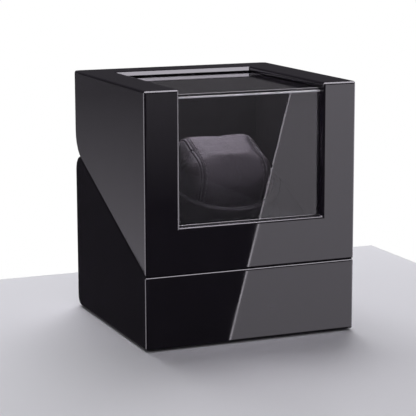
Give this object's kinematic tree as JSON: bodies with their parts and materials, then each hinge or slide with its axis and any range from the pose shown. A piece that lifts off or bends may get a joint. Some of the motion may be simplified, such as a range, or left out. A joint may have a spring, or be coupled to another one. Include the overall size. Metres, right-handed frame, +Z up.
{
  "type": "watch winder box",
  "caption": "Gloss black winder box cut by a sloping plane, with a hinged windowed lid over a velvet deck, a motor-driven rotor cup and a watch cushion.",
  "frame": {"origin": "on the ground, under the middle of the box", "axes": "+Z up, -Y towards the front face with the window, +X to the right seen from the front"},
  "size_m": [0.125, 0.121, 0.142],
  "materials": {
    "lacquer": "black piano lacquer over fibreboard, polished to a mirror",
    "pane": "clear polished acrylic, slightly smoked, edges polished",
    "frame_black": "satin black",
    "velvet": "black short-pile velvet on board",
    "trim_gloss": "gloss black moulding",
    "cup_gloss": "gloss black moulding with a polished rim",
    "black_plastic": "fine-textured black moulding",
    "cushion_leather": "soft black grained leather with stitched seams",
    "steel": "plain zinc-plated steel",
    "hinge_steel": "nickel-plated steel",
    "brass": "turned brass",
    "rubber": "matte black rubber",
    "board": "green solder-masked circuit board",
    "fibreboard": "sealed dark fibreboard"
  },
  "bodies": {
    "base": {"base_shell": "lacquer", "bearing_housing": "black_plastic", "bottom_plate": "fibreboard", "bottom_screw_front_left": "steel", "bottom_screw_front_right": "steel", "bottom_screw_rear_left": "steel", "bottom_screw_rear_right": "steel", "chassis_plate": "steel", "chassis_post_front_left": "brass", "chassis_post_front_right": "brass", "chassis_post_rear_left": "brass", "chassis_post_rear_right": "brass", "circuit_board": "board", "control_plate": "black_plastic", "dc_jack": "black_plastic", "dc_jack_pin": "brass", "deck_cleat_left": "fibreboard", "deck_cleat_right": "fibreboard", "deck_panel": "velvet", "deck_ring": "trim_gloss", "drive_belt": "rubber", "foot_front_left": "rubber", "foot_front_right": "rubber", "foot_rear_left": "rubber", "foot_rear_right": "rubber", "hinge_left_base_leaf": "hinge_steel", "hinge_left_pin": "hinge_steel", "hinge_right_base_leaf": "hinge_steel", "hinge_right_pin": "hinge_steel", "lower_bearing": "steel", "magnet_base_left": "steel", "magnet_base_right": "steel", "motor_can": "steel", "motor_gearbox": "steel", "rotary_control": "steel", "switch_body": "black_plastic", "upper_bearing": "steel"},
    "lid": {"lid_shell": "lacquer", "front_pane": "pane", "top_pane": "pane", "front_pane_frame": "frame_black", "top_pane_frame": "frame_black", "lid_lining_left": "velvet", "lid_lining_right": "velvet", "lid_lining_rear": "velvet", "hinge_left_lid_leaf": "hinge_steel", "hinge_right_lid_leaf": "hinge_steel", "magnet_lid_left": "steel", "magnet_lid_right": "steel"},
    "rotor": {"rotor_cup": "cup_gloss", "cup_lining": "velvet", "cushion_rest_left": "black_plastic", "cushion_rest_right": "black_plastic", "rotor_pulley": "black_plastic", "rotor_spindle": "steel"},
    "cushion": {"watch_cushion": "cushion_leather"},
    "motor_drive": {"motor_shaft": "steel", "motor_pulley": "black_plastic"},
    "rocker": {"switch_rocker": "black_plastic"},
    "knob": {"program_knob": "black_plastic"}
  },
  "joints": [
    {"name": "lid_hinge", "type": "hinge", "parent": "base", "child": "lid", "pos_m": [0, 0.058, 0.0942], "axis": [-1, 0, 0], "range_deg": [0, 95]},
    {"name": "rotor_turn", "type": "hinge", "parent": "base", "child": "rotor", "pos_m": [0, -0.005, 0.06644], "axis": [0, -0.4126, 0.9109], "continuous": true},
    {"name": "cushion_slide", "type": "slide", "parent": "rotor", "child": "cushion", "axis": [0, -0.4126, 0.9109], "range_m": [0, 0.005]},
    {"name": "motor_turn", "type": "hinge", "parent": "base", "child": "motor_drive", "pos_m": [-0.036, 0.00229, 0.06974], "axis": [0, -0.4126, 0.9109], "continuous": true},
    {"name": "switch_rock", "type": "hinge", "parent": "base", "child": "rocker", "pos_m": [0, 0.0542, 0.035], "axis": [1, 0, 0], "range_deg": [-8, 8]},
    {"name": "knob_turn", "type": "hinge", "parent": "base", "child": "knob", "pos_m": [0.0155, 0.055, 0.035], "axis": [0, 1, 0], "range_deg": [-135, 135]}
  ],
  "couplings": [
    {"joint": "motor_turn", "follows": "rotor_turn", "ratio": 4.2143}
  ]
}
